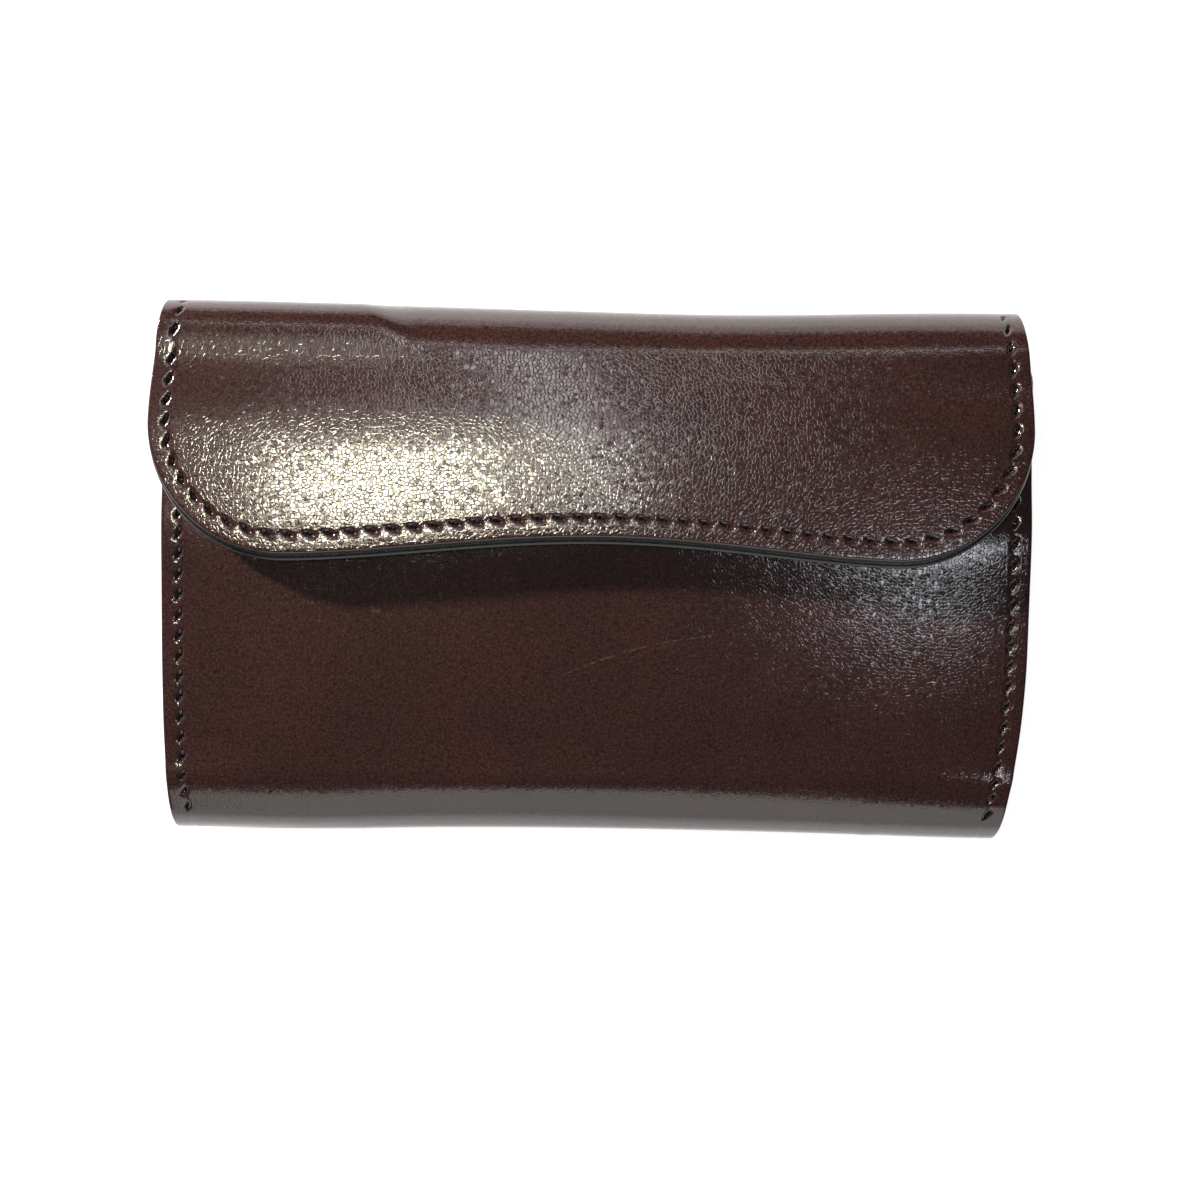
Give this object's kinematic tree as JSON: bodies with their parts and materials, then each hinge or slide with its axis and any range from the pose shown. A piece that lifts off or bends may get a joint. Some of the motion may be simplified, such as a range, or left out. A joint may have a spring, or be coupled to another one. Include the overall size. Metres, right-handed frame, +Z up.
{
  "type": "trifold wallet",
  "caption": "Trifold leather wallet: back and front panels and a wavy-edged flap that snaps shut, with note, card and coin pockets inside.",
  "frame": {"origin": "centre of the closed wallet's footprint, on the surface that the back panel lies on", "axes": "+X across the wallet along its folds, +Y from the bottom fold to the top fold, +Z up from the back panel through the flap"},
  "size_m": [0.14, 0.086, 0.0297],
  "materials": {
    "outer_leather": "glossy waxed dark brown bridle leather with black painted edges",
    "inner_leather": "smooth satin brown lining leather",
    "thread": "waxed taupe-brown thread",
    "snap_metal": "antiqued brass snap hardware"
  },
  "bodies": {
    "back": {"back_leather": "outer_leather", "back_lining": "inner_leather", "note_pocket_wall": "inner_leather", "back_stitching": "thread", "coin_pocket_back": "inner_leather", "coin_pocket_gusset": "inner_leather", "coin_pocket_wall": "inner_leather", "coin_pocket_stitching": "thread", "coin_snap_stud": "snap_metal", "coin_snap_post": "snap_metal", "top_bend_lower_leather": "outer_leather", "top_bend_lower_lining": "inner_leather", "bottom_bend_lower_leather": "outer_leather", "bottom_bend_lower_lining": "inner_leather"},
    "top_spine": {"top_spine_leather": "outer_leather", "top_spine_lining": "inner_leather"},
    "flap": {"top_bend_upper_leather": "outer_leather", "top_bend_upper_lining": "inner_leather", "flap_leather": "outer_leather", "flap_lining": "inner_leather", "flap_stitching": "thread", "flap_snap_cap": "snap_metal", "flap_snap_socket": "snap_metal", "flap_snap_spring": "snap_metal"},
    "bottom_spine": {"bottom_spine_leather": "outer_leather", "bottom_spine_lining": "inner_leather"},
    "front": {"bottom_bend_upper_leather": "outer_leather", "bottom_bend_upper_lining": "inner_leather", "front_leather": "outer_leather", "front_lining": "inner_leather", "front_stitching": "thread", "front_snap_stud": "snap_metal", "front_snap_post": "snap_metal", "card_pocket_rear": "inner_leather", "card_pocket_middle": "inner_leather", "card_pocket_front": "inner_leather", "card_stitching": "thread"},
    "coin_spine": {"coin_spine_leather": "inner_leather"},
    "coin_flap": {"coin_flap_leather": "inner_leather", "coin_flap_lining": "inner_leather", "coin_flap_stitching": "thread", "coin_snap_cap": "snap_metal", "coin_snap_socket": "snap_metal", "coin_snap_spring": "snap_metal"}
  },
  "joints": [
    {"name": "top_fold_lower", "type": "hinge", "parent": "back", "child": "top_spine", "pos_m": [0, 0.04026, 0.00274], "axis": [-1, 0, 0], "range_deg": [0, 90], "deforming": ["top_bend_lower_leather", "top_bend_lower_lining"]},
    {"name": "top_fold_upper", "type": "hinge", "parent": "top_spine", "child": "flap", "pos_m": [0, 0.04026, 0.02506], "axis": [-1, 0, 0], "range_deg": [0, 90], "deforming": ["top_bend_upper_leather", "top_bend_upper_lining"]},
    {"name": "bottom_fold_lower", "type": "hinge", "parent": "back", "child": "bottom_spine", "pos_m": [0, -0.03973, 0.00327], "axis": [1, 0, 0], "range_deg": [0, 90], "deforming": ["bottom_bend_lower_leather", "bottom_bend_lower_lining"]},
    {"name": "bottom_fold_upper", "type": "hinge", "parent": "bottom_spine", "child": "front", "pos_m": [0, -0.03973, 0.02073], "axis": [1, 0, 0], "range_deg": [0, 90], "deforming": ["bottom_bend_upper_leather", "bottom_bend_upper_lining"]},
    {"name": "coin_flap_base", "type": "hinge", "parent": "back", "child": "coin_spine", "pos_m": [0.0135, -0.0296, 0.0062], "axis": [1, 0, 0], "range_deg": [0, 90]},
    {"name": "coin_flap_crease", "type": "hinge", "parent": "coin_spine", "child": "coin_flap", "pos_m": [0.0135, -0.0306, 0.01365], "axis": [1, 0, 0], "range_deg": [0, 72]}
  ],
  "couplings": [
    {"joint": "top_fold_upper", "follows": "top_fold_lower", "ratio": 1},
    {"joint": "bottom_fold_upper", "follows": "bottom_fold_lower", "ratio": 1},
    {"joint": "coin_flap_base", "follows": "bottom_fold_lower", "ratio": 1},
    {"joint": "coin_flap_crease", "follows": "bottom_fold_lower", "ratio": 0.8}
  ]
}
